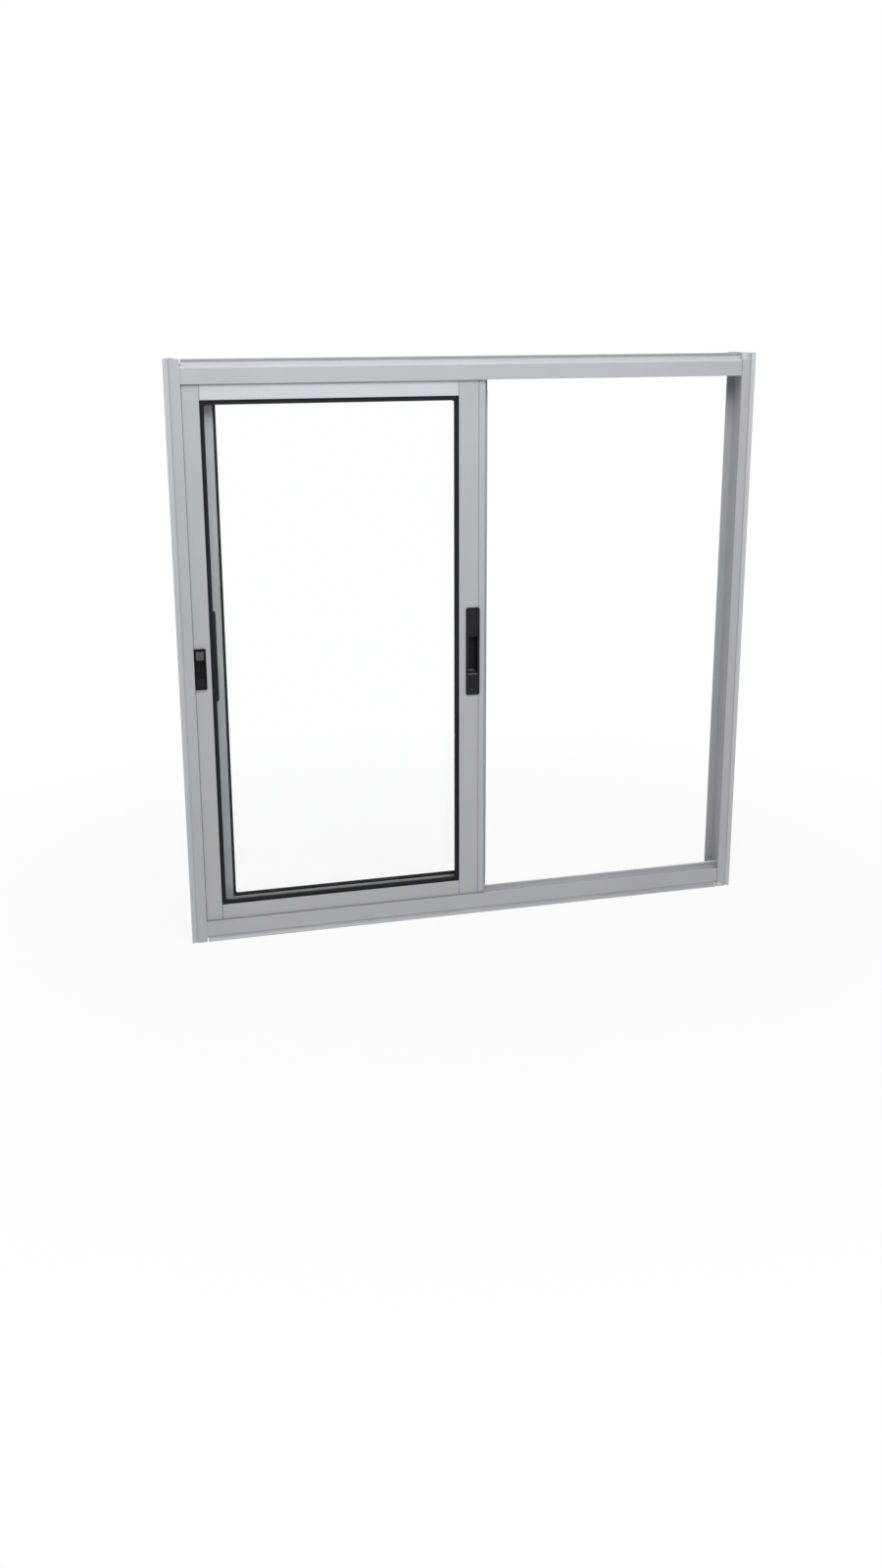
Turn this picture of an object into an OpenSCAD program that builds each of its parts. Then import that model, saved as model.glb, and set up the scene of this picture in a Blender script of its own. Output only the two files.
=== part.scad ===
// Two-track sliding window in natural anodised aluminium, seen from the room side.
// Both sashes stand at the left, so the right half of the opening is free.
// Frame of reference: X to the right, Y away from the room, Z up.
// The origin is the middle of the window's footprint on the surface it stands on.

/* [Frame] */
// Overall width of the outer frame
frame_w = 1040; // [900:1:1400]
// Overall height of the outer frame
frame_h = 1000; // [800:1:1300]
// Depth of the outer frame from front face to rear face
frame_d = 62; // [60:0.5:80]
// Wall of the outer frame sections
wall = 1.6; // [1.2:0.1:2]
// Height of the outer fins of the jambs
jamb_fin = 8.8; // [6:0.1:12]
// Height of the outer fins of the sill
sill_fin = 9.2; // [8:0.1:14]
// Height of the outer fins of the head
head_fin = 12.6; // [9:0.1:16]
// How far the outer fins of the jambs lie behind the face
jamb_setback = 2.4; // [1:0.1:5]
// How far the outer fins of the sill and head lie behind the face
sill_setback = 4; // [1:0.1:5]
// Width of the slopes from the face back to the fins, and at the fins' toes
slope_w = 3.5; // [2:0.1:4]
// Distance from the outer edge to the tip of a jamb's front leg
jamb_leg = 26.5; // [22:0.1:32]
// Distance from the outer edge to the tip of a jamb's rear leg
jamb_rear_leg = 24.5; // [20:0.1:30]
// Distance from the outer edge to the tip of the head's legs
head_leg = 39.5; // [36:0.1:48]
// Height of the sill's front leg above the ground
sill_leg = 37.8; // [35:0.1:46]
// Height of the sill's middle rail above the ground
sill_mid = 41.8; // [39:0.1:50]
// Width of the bead along the top of the sill's middle rail
bead_w = 3.8; // [2.4:0.1:4.4]
// Height of that bead
bead_h = 4.8; // [3:0.1:7]
// Height of the sill's rear leg above the ground
sill_rear = 30; // [26:0.1:34]
// Thickness of the rails that the rollers run on
rail_t = 2; // [1.6:0.1:2.4]
// Height of the front roller rail above the ground
rail_top = 30.6; // [27:0.1:34]
// How much higher the rear roller rail and sash stand
rear_lift = 2.7; // [0:0.1:4]

/* [Sashes] */
// Room between a shut sash and the web of its jamb
edge_gap = 6.4; // [3:0.1:9]
// Gap between the frame's front leg and the front sash
face_gap = 2.9; // [2:0.1:4]
// Wall of the sash sections
sash_wall = 1.5; // [1.2:0.1:2]
// How far the underside of a sash lies below the top of its roller rail
sash_drop = 6; // [2:0.1:7]
// Gap between the sash and the sill's or head's middle rail
mid_gap = 3.6; // [2.5:0.1:4.5]
// Height of the bottom and top rails of a sash
rail_h = 40.8; // [37:0.1:46]
// How far a sash's top rail goes into the head
head_bite = 15.3; // [8:0.1:17]
// Width of the stile that carries the pull
lock_stile_w = 47.3; // [42:0.1:56]
// Width of the plain fin at the outer side of that stile
lock_fin_w = 11.2; // [8:0.1:14]
// Width of the stile at the meeting side
meet_stile_w = 34.8; // [30:0.1:40]
// Where the front sash stands: its left edge, from the left edge of the frame
front_left = 20.8; // [14:0.1:24]
// Where the rear sash stands: its left edge, from the left edge of the frame
rear_left = 33.4; // [20:0.1:60]
// Length of the interlock's hook across the window
hook_w = 6; // [4:0.1:8]
// Height of the interlock's hook off its stile
hook_h = 6.3; // [5.5:0.1:6.5]
// Wall of the interlock's hook
hook_t = 1.4; // [1:0.1:1.6]
// How far the interlock stops short of the sill's and head's rails
hook_end_gap = 21.5; // [8:0.5:30]

/* [Glazing] */
// Thickness of the glass
glass_t = 5; // [3:0.1:6]
// Wall of the sash in front of the vinyl
lip_t = 1.2; // [1:0.1:2]
// Thickness of the vinyl in front of the glass
gasket_lip = 3.9; // [2:0.1:5]
// Thickness of the vinyl behind the glass
gasket_rear = 3; // [2:0.1:4]
// How much of the vinyl shows beyond the sash on the room side
gasket_show = 7.8; // [4:0.1:10]
// How much of the vinyl shows beyond the sash on the other side
gasket_rear_show = 2; // [1:0.1:8]
// How deep the vinyl sits in the sash
gasket_bite = 9; // [6:0.1:9.5]
// Depth of the pocket for the vinyl
pocket_d = 10; // [9.8:0.1:12]
// How far the glass goes into the vinyl beyond its edge
glass_bite = 9; // [6:0.1:12]
// Corner radius of the vinyl's inner edge
gasket_r = 4; // [2:0.5:8]

/* [Rollers] */
// Radius of a roller at its rims
roller_r = 8; // [6:0.1:9]
// Depth of the groove that runs on the rail
roller_groove = 1.8; // [1:0.1:2.5]
// Width of a roller
roller_w = 6; // [5:0.1:8]
// Radius of the roller's axle
axle_r = 2; // [1.5:0.1:2.5]
// Distance from the end of the bottom rail to the middle of a roller
roller_inset = 45; // [35:1:90]
// Length of the roller's housing
housing_l = 34; // [28:1:44]

/* [Pulls] */
// Width of the flush pull plate
pull_w = 25; // [22:0.1:28]
// Height of the flush pull plate
pull_h = 157; // [140:1:180]
// Corner radius of the plate
pull_r = 3.5; // [2:0.1:6]
// How far the plate stands off the stile
pull_t = 2; // [1.4:0.1:2.4]
// Height of the middle of the pull above the ground
pull_z = 494.2; // [440:0.1:540]
// Distance from the front sash's outer edge to its plate
pull_edge = 10; // [8:0.1:16]
// Distance from the rear sash's outer edge to its plate
rear_pull_edge = 12.3; // [8:0.1:16]
// How much higher the rear sash carries its pull
rear_pull_rise = 10; // [0:0.5:20]
// Width of the finger recess
recess_w = 16.8; // [12:0.1:18]
// Height of the finger recess
recess_h = 67; // [50:1:76]
// How far the recess lies below the middle of the plate
recess_drop = 6.5; // [0:0.5:12]
// Depth of the finger recess behind the plate's face
recess_d = 11; // [8:0.1:14]
// Wall of the moulded cup
cup_wall = 1.5; // [1.2:0.1:2]
// Distance from an end of the plate to the middle of its screw
screw_inset = 9.5; // [6:0.5:14]
// Radius of the screws' heads
screw_head_r = 3.2; // [2.5:0.1:4]
// Radius of the screws' shanks
screw_r = 1.8; // [1.4:0.1:2]
// Length of the screws' shanks behind the stile's face
pull_screw_l = 8; // [5:0.5:12]

/* [Latch] */
// Width of the meeting stile's latch
latch_w = 20.3; // [18:0.1:23]
// Height of the latch
latch_h = 70; // [64:1:84]
// How far the latch stands off the stile
latch_t = 3.6; // [3:0.1:4.2]
// Height of the middle of the latch above the ground
latch_z = 492.8; // [440:0.1:540]
// Distance from the meeting edge to the latch
latch_edge = 6.1; // [4:0.1:10]
// Side wall of the latch body
latch_wall = 2.9; // [2.4:0.1:4]
// Side length of the latch's button
button_w = 13.2; // [11:0.1:14]
// Height of the latch's button
button_h = 15; // [12:0.1:18]

/* [Fixings] */
// Radius of the frame's fixing holes in the jambs
fixing_r = 2.75; // [2:0.05:4]
// Distance between a jamb's two fixing holes
fixing_pitch = 600; // [400:1:760]
// Radius of the corner screws
corner_screw_r = 2; // [1.6:0.05:2.4]
// Length of a corner screw behind its head
corner_screw_l = 20; // [14:0.5:30]
// Spare depth of the screw ports past a screw's tip
port_spare = 4; // [2:0.5:10]
// Radius of the corner screws' heads
corner_head_r = 3.6; // [3:0.1:4]
// Height of the corner screws' heads
corner_head_h = 2; // [1.4:0.1:2.6]
// Width of the small corner blocks at the right jamb's ends
block_w = 10.3; // [8:0.1:12]
// Depth of the small corner blocks
block_d = 6; // [4:0.1:9]

/* [Clearances] */
// Joint between a rail's end and a jamb's leg
joint_gap = 0.15; // [0.1:0.05:0.4]
// Gap between the fins' ends and the jamb's leg
fin_gap = 2.4; // [1.5:0.1:4]
// Room around a glazing channel in its pocket
seat_gap = 0.1; // [0.05:0.05:0.3]
// Room round a screw in its hole
screw_gap = 0.1; // [0.05:0.05:0.2]
// Running clearance of rollers and sliders
run_gap = 0.2; // [0.1:0.05:0.4]
// Room beside and above a roller rail where the stiles pass over it
notch_gap = 2; // [1:0.1:3]

/* [Hidden] */
$fn = 48;

aluminium = [0.72, 0.73, 0.75];
vinyl = [0.15, 0.16, 0.18];
black_plastic = [0.12, 0.13, 0.14];
grey_plastic = [0.34, 0.35, 0.38];
steel = [0.6, 0.6, 0.6];
nylon = [0.85, 0.85, 0.82];
clear_glass = [0.8, 0.88, 0.88, 0.4];

left_x = -frame_w / 2;
right_x = frame_w / 2;
front_face_y = -frame_d / 2;
rear_face_y = frame_d / 2;
mid_rail_t = wall + 0.2;
through = 1;

// Sash planes: both sashes keep the same gap to the middle rail
sash_t = frame_d / 2 - wall - face_gap - mid_gap - mid_rail_t / 2;
front_sash_y = -mid_rail_t / 2 - mid_gap - sash_t;
rear_sash_y = mid_rail_t / 2 + mid_gap;
front_rail_y = front_sash_y + sash_t / 2;
rear_rail_y = rear_sash_y + sash_t / 2;
sash_z0 = rail_top - sash_drop;
sash_z1 = frame_h - head_leg + head_bite;
sash_h = sash_z1 - sash_z0;
// Shut, the two sashes fill the frame and overlap by one meeting stile
sash_w = (frame_w + meet_stile_w) / 2 - jamb_fin - wall - edge_gap;
open_h = sash_h - 2 * rail_h;
open_w = sash_w - lock_stile_w - meet_stile_w;
gasket_t = gasket_lip + glass_t + gasket_rear;
pocket_w = gasket_t + 2 * seat_gap;
pocket_back = lip_t + pocket_w;
glass_y = lip_t + seat_gap + gasket_lip;

// Screw ports lie on the outer side of the sill's and head's webs
port_r = corner_screw_r + 1.7;
sill_port_z = sill_fin - port_r + wall / 2;
head_port_z = frame_h - head_fin + port_r - wall / 2;
port_ys = [front_rail_y, rear_rail_y];
web_in_x = jamb_fin + wall;
fixing_zs = [(frame_h - fixing_pitch) / 2, (frame_h + fixing_pitch) / 2];

// Pull plate and cup
cup_w = recess_w + 2 * cup_wall;
cup_h = recess_h + 2 * cup_wall;
cup_back = recess_d - pull_t + cup_wall;
rear_pull_z = pull_z + rear_pull_rise;
slider_h = 5.5;
screw_pitch = pull_h - 2 * screw_inset;
slider_w = recess_w - 2 * run_gap;
slider_d = 7;
screw_head_h = 1;
cross_l = 3.6;
cross_w = 0.8;
ridge_h = 2;
ridge_d = 1.2;
recess_r = 1;

// Latch, measured from the meeting edge
latch_mid = latch_edge + latch_w / 2;
latch_floor_t = 0.8;
latch_end_wall = 4;
button_d = 2.2;
ramp_h = 14;

// Flat shapes

module span(x0, x1, y0, y1) {
    translate([x0, y0])
        square([x1 - x0, y1 - y0]);
}

module rounded(w, h, r) {
    square([w - 2 * r, h], center = true);
    square([w, h - 2 * r], center = true);
    for (x = [-1, 1], y = [-1, 1])
        translate([x * (w / 2 - r), y * (h / 2 - r)])
            circle(r);
}

// Section of the outer frame: x runs inward from the outer edge, y is the depth.
// The front leg slopes back to a fin on the room side, and the fin ends in a sloped toe.
module web_and_legs(fin, setback, front_leg, rear_leg) {
    fin_y = front_face_y + setback;
    polygon([
        [fin + slope_w / 2, front_face_y],
        [front_leg, front_face_y],
        [front_leg, front_face_y + wall],
        [fin + wall, front_face_y + wall],
        [fin + wall, rear_face_y - wall],
        [rear_leg, rear_face_y - wall],
        [rear_leg, rear_face_y],
        [fin, rear_face_y],
        [fin, fin_y + wall],
        [fin - slope_w / 2, fin_y + wall],
        [fin - slope_w / 2, fin_y]
    ]);
}

module fin_and_toe(fin, setback) {
    fin_y = front_face_y + setback;
    polygon([
        [0, front_face_y],
        [wall, front_face_y],
        [wall + slope_w, fin_y],
        [fin, fin_y],
        [fin, fin_y + wall],
        [0, fin_y + wall]
    ]);
}

// The web also reaches between the jambs' legs
module inner_web(fin) {
    span(fin, fin + wall, front_face_y + sill_setback, rear_face_y - wall - joint_gap);
}

// A rail that stands on the web
module rail(fin, top, y, t) {
    span(fin + wall, top, y - t / 2, y + t / 2);
}

// A sash section: x runs from the outer edge to the glass, y is the thickness.
// Its chamber also runs behind the pocket that holds the vinyl.
module sash_section(w) {
    difference() {
        square([w, sash_t]);
        span(sash_wall, w - pocket_d - sash_wall, sash_wall, sash_t - sash_wall);
        span(sash_wall, w - sash_wall, pocket_back + sash_wall, sash_t - sash_wall);
        span(w - pocket_d, w + through, lip_t, pocket_back);
    }
}

// Extrusions along X: the section's x becomes height
module along_x(x0, x1) {
    translate([x0, 0, 0])
        rotate([90, 0, 90])
            linear_extrude(x1 - x0)
                mirror([1, 0])
                    rotate(90)
                        children();
}

// Outer frame

module sill() {
    color(aluminium) {
        along_x(left_x + web_in_x, right_x - web_in_x)
            inner_web(sill_fin);
        along_x(left_x + jamb_leg + joint_gap, right_x - jamb_leg - joint_gap)
            web_and_legs(sill_fin, sill_setback, sill_leg, sill_rear);
        along_x(left_x + jamb_leg + fin_gap, right_x - jamb_leg - fin_gap)
            fin_and_toe(sill_fin, sill_setback);
        ports(sill_port_z);
    }
}

// The middle rail has a bead along its top, and the rollers run on the other two
module sill_rails() {
    color(aluminium)
        along_x(left_x + web_in_x, right_x - web_in_x) {
            rail(sill_fin, sill_mid, 0, mid_rail_t);
            span(sill_mid - bead_h, sill_mid, -bead_w / 2, bead_w / 2);
            rail(sill_fin, rail_top, front_rail_y, rail_t);
            rail(sill_fin, rail_top + rear_lift, rear_rail_y, rail_t);
        }
}

module head() {
    color(aluminium) {
        translate([0, 0, frame_h])
            mirror([0, 0, 1]) {
                along_x(left_x + web_in_x, right_x - web_in_x)
                    inner_web(head_fin);
                along_x(left_x + jamb_leg + joint_gap, right_x - jamb_leg - joint_gap)
                    web_and_legs(head_fin, sill_setback, head_leg, head_leg);
                along_x(left_x + jamb_leg + fin_gap, right_x - jamb_leg - fin_gap)
                    fin_and_toe(head_fin, sill_setback);
            }
        ports(head_port_z);
    }
}

module head_rail() {
    color(aluminium)
        translate([0, 0, frame_h])
            mirror([0, 0, 1])
                along_x(left_x + web_in_x, right_x - web_in_x)
                    rail(head_fin, head_leg, 0, mid_rail_t);
}

// Tubes that the corner screws bite into
module ports(z) {
    for (side = [-1, 1], y = port_ys)
        translate([side * (right_x - web_in_x), y, z])
            rotate([0, -90 * side, 0])
                difference() {
                    cylinder(r = port_r, h = corner_screw_l + port_spare);
                    translate([0, 0, -through])
                        cylinder(r = corner_screw_r + screw_gap, h = corner_screw_l + port_spare + 2 * through);
                }
}

module jamb_blank() {
    difference() {
        translate([left_x, 0, 0])
            linear_extrude(frame_h) {
                web_and_legs(jamb_fin, jamb_setback, jamb_leg, jamb_rear_leg);
                fin_and_toe(jamb_fin, jamb_setback);
            }
        for (y = port_ys, z = [sill_port_z, head_port_z])
            translate([left_x + jamb_fin - through, y, z])
                rotate([0, 90, 0])
                    cylinder(r = corner_screw_r + screw_gap, h = wall + 2 * through);
        for (z = fixing_zs)
            translate([left_x + jamb_fin - through, 0, z])
                rotate([0, 90, 0])
                    cylinder(r = fixing_r, h = wall + 2 * through);
    }
}

module left_jamb() {
    color(aluminium)
        jamb_blank();
}

// The right jamb's front leg is cut back at both ends for the corner blocks
module right_jamb() {
    color(aluminium)
        difference() {
            mirror([1, 0, 0])
                jamb_blank();
            translate([right_x - jamb_leg - through, front_face_y - through, -through])
                cube([block_w + through, wall + 2 * through, sill_fin + through]);
            translate([right_x - jamb_leg - through, front_face_y - through, frame_h - head_fin])
                cube([block_w + through, wall + 2 * through, head_fin + through]);
        }
}

module corner_blocks() {
    color(aluminium) {
        translate([right_x - jamb_leg, front_face_y, 0])
            cube([block_w, block_d, sill_fin]);
        translate([right_x - jamb_leg, front_face_y, frame_h - head_fin])
            cube([block_w, block_d, head_fin]);
    }
}

module corner_screws() {
    color(steel)
        for (side = [-1, 1], y = port_ys, z = [sill_port_z, head_port_z])
            translate([side * (right_x - jamb_fin), y, z])
                rotate([0, -90 * side, 0]) {
                    cylinder(r = corner_screw_r, h = corner_screw_l);
                    translate([0, 0, -corner_head_h])
                        cylinder(r = corner_head_r, h = corner_head_h);
                }
}

// Sashes: drawn with the meeting edge at x 0, the front face at y 0

module place_front() {
    translate([left_x + front_left, front_sash_y, 0])
        children();
}

module place_rear() {
    translate([left_x + rear_left + sash_w, rear_sash_y, rear_lift])
        mirror([1, 0, 0])
            children();
}

module track_notch() {
    translate([-through, sash_t / 2 - rail_t / 2 - notch_gap, sash_z0 - through])
        cube([sash_w + 2 * through, rail_t + 2 * notch_gap, sash_drop + notch_gap + through]);
}

module rail_of_sash(z0, flip) {
    translate([meet_stile_w, 0, z0])
        mirror([0, 0, flip])
            rotate([90, 0, 90])
                linear_extrude(open_w)
                    mirror([1, 0])
                        rotate(90)
                            difference() {
                                sash_section(rail_h);
                                span(-through, sash_wall + through, sash_wall, sash_t - sash_wall);
                            }
}

module top_rail() {
    color(aluminium)
        rail_of_sash(sash_z1, 1);
}

module bottom_rail() {
    color(aluminium)
        rail_of_sash(sash_z0, 0);
}

// The stile's outer fin lies a little behind its main face, past a fine groove
module lock_stile(edge, z) {
    step_d = 1.2;
    groove_w = 1.6;
    color(aluminium)
        difference() {
            translate([sash_w, 0, sash_z0])
                mirror([1, 0, 0])
                    linear_extrude(sash_h)
                        difference() {
                            sash_section(lock_stile_w);
                            span(-through, lock_fin_w, -through, step_d / 2);
                            span(lock_fin_w, lock_fin_w + groove_w, -through, step_d);
                        }
            track_notch();
            translate([sash_w - edge - pull_w / 2, 0, z])
                pull_holes();
        }
}

module pull_holes() {
    translate([0, cup_back + run_gap, -recess_drop])
        rotate([90, 0, 0])
            linear_extrude(cup_back + run_gap + through)
                square([cup_w + 2 * run_gap, cup_h + 2 * run_gap], center = true);
    for (side = [-1, 1])
        translate([0, sash_wall + through, side * screw_pitch / 2])
            rotate([90, 0, 0])
                cylinder(r = screw_r + screw_gap, h = sash_wall + 2 * through);
}

// The front sash's hook stands inward of its edge, the rear sash's at its edge
module meeting_stile(hook_x, hook_y, turn) {
    hook_z0 = sill_mid + hook_end_gap;
    hook_z1 = frame_h - head_leg - hook_end_gap;
    color(aluminium)
        difference() {
            union() {
                translate([0, 0, sash_z0])
                    linear_extrude(sash_h)
                        sash_section(meet_stile_w);
                translate([hook_x, hook_y, hook_z0])
                    linear_extrude(hook_z1 - hook_z0)
                        mirror([0, turn]) {
                            translate([0, -sash_wall])
                                square([hook_t, hook_h + sash_wall]);
                            translate([0, hook_h - hook_t])
                                square([hook_w, hook_t]);
                        }
            }
            track_notch();
        }
}

// The vinyl's lip is high on the room side and low on the other
module gasket() {
    slot = glass_bite - gasket_show;
    color(vinyl)
        translate([meet_stile_w + open_w / 2, pocket_back - seat_gap, (sash_z0 + sash_z1) / 2])
            rotate([90, 0, 0])
                difference() {
                    linear_extrude(gasket_t)
                        square([open_w + 2 * gasket_bite, open_h + 2 * gasket_bite], center = true);
                    translate([0, 0, gasket_rear])
                        linear_extrude(gasket_t)
                            rounded(open_w - 2 * gasket_show, open_h - 2 * gasket_show, gasket_r);
                    translate([0, 0, -through])
                        linear_extrude(gasket_rear + 2 * through)
                            rounded(open_w - 2 * gasket_rear_show, open_h - 2 * gasket_rear_show, gasket_r);
                    translate([0, 0, gasket_rear])
                        linear_extrude(glass_t)
                            square([open_w + 2 * slot, open_h + 2 * slot], center = true);
                }
}

module glass() {
    color(clear_glass)
        translate([
            meet_stile_w + gasket_show - glass_bite,
            glass_y,
            sash_z0 + rail_h + gasket_show - glass_bite
        ])
            cube([
                open_w - 2 * gasket_show + 2 * glass_bite,
                glass_t,
                open_h - 2 * gasket_show + 2 * glass_bite
            ]);
}

axle_z = rail_top + roller_r - roller_groove;
roller_xs = [meet_stile_w + roller_inset, sash_w - lock_stile_w - roller_inset];
chamber_top = sash_z0 + rail_h - pocket_d - sash_wall;

module rollers() {
    bevel = roller_w / 2 - rail_t / 2 - run_gap;
    color(nylon)
        for (x = roller_xs)
            translate([x, sash_t / 2, axle_z])
                rotate([90, 0, 0]) {
                    rotate_extrude()
                        polygon([
                            [0, -roller_w / 2],
                            [roller_r, -roller_w / 2],
                            [roller_r, -roller_w / 2 + bevel / 2],
                            [roller_r - roller_groove, -rail_t / 2 - run_gap],
                            [roller_r - roller_groove, rail_t / 2 + run_gap],
                            [roller_r, roller_w / 2 - bevel / 2],
                            [roller_r, roller_w / 2],
                            [0, roller_w / 2]
                        ]);
                    cylinder(r = axle_r, h = sash_t - 2 * sash_wall - 2, center = true);
                }
}

module roller_housings() {
    housing_d = sash_t - 2 * sash_wall;
    color(black_plastic)
        for (x = roller_xs)
            difference() {
                translate([x - housing_l / 2, sash_wall, axle_z - axle_r - 1.5])
                    cube([housing_l, housing_d, chamber_top - axle_z + axle_r + 1.5]);
                translate([x, sash_t / 2, axle_z])
                    rotate([90, 0, 0]) {
                        cylinder(r = roller_r + 1, h = roller_w + 2, center = true);
                        cylinder(r = axle_r + run_gap, h = housing_d - 1, center = true);
                    }
                translate([x - roller_r - 1, sash_t / 2 - roller_w / 2 - 1, axle_z - roller_r - through])
                    cube([2 * roller_r + 2, roller_w + 2, roller_r + through]);
                translate([x - axle_r - run_gap, sash_wall + 0.5, axle_z - roller_r])
                    cube([2 * axle_r + 2 * run_gap, housing_d - 1, roller_r]);
            }
}

// Pull: plate with a moulded cup, thumb slider and two screws

module pull_plate(edge, z) {
    color(black_plastic)
        translate([sash_w - edge - pull_w / 2, 0, z])
            rotate([90, 0, 0])
                difference() {
                    union() {
                        linear_extrude(pull_t)
                            rounded(pull_w, pull_h, pull_r);
                        translate([0, -recess_drop, -cup_back])
                            linear_extrude(cup_back + pull_t / 2)
                                square([cup_w, cup_h], center = true);
                    }
                    translate([0, -recess_drop, pull_t - recess_d])
                        linear_extrude(recess_d + through)
                            rounded(recess_w, recess_h, recess_r);
                    for (side = [-1, 1])
                        translate([0, side * screw_pitch / 2, -through]) {
                            cylinder(r = screw_r + screw_gap, h = pull_t + 2 * through);
                            translate([0, 0, through + pull_t - screw_head_h])
                                cylinder(r = screw_head_r + screw_gap, h = screw_head_h + through);
                        }
                }
}

module pull_slider(edge, z) {
    slider_x = sash_w - edge - (pull_w + slider_w) / 2;
    slider_z = z - recess_drop - recess_h / 2 + recess_r;
    color(black_plastic)
        translate([slider_x, recess_d - pull_t - slider_d - run_gap, slider_z]) {
            cube([slider_w, slider_d, slider_h]);
            for (ridge_z = [0, slider_h - ridge_h])
                translate([0, -ridge_d, ridge_z])
                    cube([slider_w, ridge_d + slider_d / 2, ridge_h]);
        }
}

module pull_screws(edge, z) {
    color(steel)
        for (side = [-1, 1])
            translate([sash_w - edge - pull_w / 2, 0, z + side * screw_pitch / 2])
                rotate([90, 0, 0])
                    difference() {
                        union() {
                            translate([0, 0, -pull_screw_l])
                                cylinder(r = screw_r, h = pull_screw_l + pull_t);
                            translate([0, 0, pull_t - screw_head_h])
                                cylinder(r = screw_head_r, h = screw_head_h);
                        }
                        translate([0, 0, pull_t])
                            for (a = [0, 90])
                                rotate(a)
                                    cube([cross_l, cross_w, screw_head_h], center = true);
                    }
}

// Latch on the meeting stile: a shallow open body with a square button and a ramp

module latch() {
    color(black_plastic)
        translate([latch_mid, 0, latch_z])
            rotate([90, 0, 0]) {
                difference() {
                    linear_extrude(latch_t)
                        rounded(latch_w, latch_h, 1);
                    translate([0, 0, latch_floor_t])
                        linear_extrude(latch_t)
                            square([latch_w - 2 * latch_wall, latch_h - 2 * latch_end_wall], center = true);
                }
                translate([latch_w / 2 - latch_wall, latch_end_wall - latch_h / 2, latch_floor_t])
                    rotate([0, -90, 0])
                        linear_extrude(latch_w - 2 * latch_wall)
                            polygon([[0, 0], [latch_t / 2, 0], [0, ramp_h]]);
            }
}

module button() {
    top_z = latch_h / 2 - latch_end_wall - run_gap;
    color(grey_plastic)
        translate([latch_mid, 0, latch_z])
            rotate([90, 0, 0])
                translate([0, top_z - button_h / 2, latch_floor_t])
                    linear_extrude(button_d)
                        rounded(button_w, button_h, 1);
}

module front_top_rail() { place_front() top_rail(); }
module front_bottom_rail() { place_front() bottom_rail(); }
module front_lock_stile() { place_front() lock_stile(pull_edge, pull_z); }
module front_meeting_stile() { place_front() meeting_stile(meet_stile_w - 2 * hook_w + hook_t, sash_t, 0); }
module front_glass() { place_front() glass(); }
module front_gasket() { place_front() gasket(); }
module front_rollers() { place_front() rollers(); }
module front_roller_housings() { place_front() roller_housings(); }
module front_pull_plate() { place_front() pull_plate(pull_edge, pull_z); }
module front_pull_slider() { place_front() pull_slider(pull_edge, pull_z); }
module front_pull_screws() { place_front() pull_screws(pull_edge, pull_z); }
module latch_body() { place_front() latch(); }
module latch_button() { place_front() button(); }
module rear_top_rail() { place_rear() top_rail(); }
module rear_bottom_rail() { place_rear() bottom_rail(); }
module rear_lock_stile() { place_rear() lock_stile(rear_pull_edge, rear_pull_z); }
module rear_meeting_stile() { place_rear() meeting_stile(hook_t, 0, 1); }
module rear_glass() { place_rear() glass(); }
module rear_gasket() { place_rear() gasket(); }
module rear_rollers() { place_rear() rollers(); }
module rear_roller_housings() { place_rear() roller_housings(); }
module rear_pull_plate() { place_rear() pull_plate(rear_pull_edge, rear_pull_z); }
module rear_pull_slider() { place_rear() pull_slider(rear_pull_edge, rear_pull_z); }
module rear_pull_screws() { place_rear() pull_screws(rear_pull_edge, rear_pull_z); }

head();
head_rail();
sill();
sill_rails();
left_jamb();
right_jamb();
corner_blocks();
corner_screws();
front_top_rail();
front_bottom_rail();
front_lock_stile();
front_meeting_stile();
front_glass();
front_gasket();
front_rollers();
front_roller_housings();
front_pull_plate();
front_pull_slider();
front_pull_screws();
latch_body();
latch_button();
rear_top_rail();
rear_bottom_rail();
rear_lock_stile();
rear_meeting_stile();
rear_glass();
rear_gasket();
rear_rollers();
rear_roller_housings();
rear_pull_plate();
rear_pull_slider();
rear_pull_screws();
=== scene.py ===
"""Looks of the two-track sliding window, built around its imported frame.

Metres. X to the right, Y away from the room, Z up; the window stands on z 0.
"""

import math

import bmesh
import bpy
from mathutils import Matrix, Vector


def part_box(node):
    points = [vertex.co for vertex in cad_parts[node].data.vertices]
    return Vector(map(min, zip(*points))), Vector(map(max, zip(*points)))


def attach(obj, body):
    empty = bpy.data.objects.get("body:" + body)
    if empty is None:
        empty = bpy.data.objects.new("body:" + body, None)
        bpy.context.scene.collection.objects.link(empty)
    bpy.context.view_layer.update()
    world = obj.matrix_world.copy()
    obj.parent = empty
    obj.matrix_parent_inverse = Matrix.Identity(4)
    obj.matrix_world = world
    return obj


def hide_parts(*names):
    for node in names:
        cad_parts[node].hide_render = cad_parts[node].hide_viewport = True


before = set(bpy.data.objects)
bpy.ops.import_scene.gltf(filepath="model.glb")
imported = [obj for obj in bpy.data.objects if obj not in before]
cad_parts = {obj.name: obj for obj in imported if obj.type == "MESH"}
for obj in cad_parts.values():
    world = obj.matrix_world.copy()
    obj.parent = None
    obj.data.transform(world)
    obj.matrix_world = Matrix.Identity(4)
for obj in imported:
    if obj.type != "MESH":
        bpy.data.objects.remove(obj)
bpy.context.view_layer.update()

MM = 0.001

# Camera, as fitted to the edges of the frame
IMAGE_HEIGHT = 1600
FOCAL_PIXELS = 1607.0
SENSOR_HEIGHT = 36.0
CAMERA_PLACE = (-0.8126, -2.6441, 1.0680)
CAMERA_TURN = (73.3609, 0.2070, -16.0968)
CAMERA_REACH = 60.0

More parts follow.
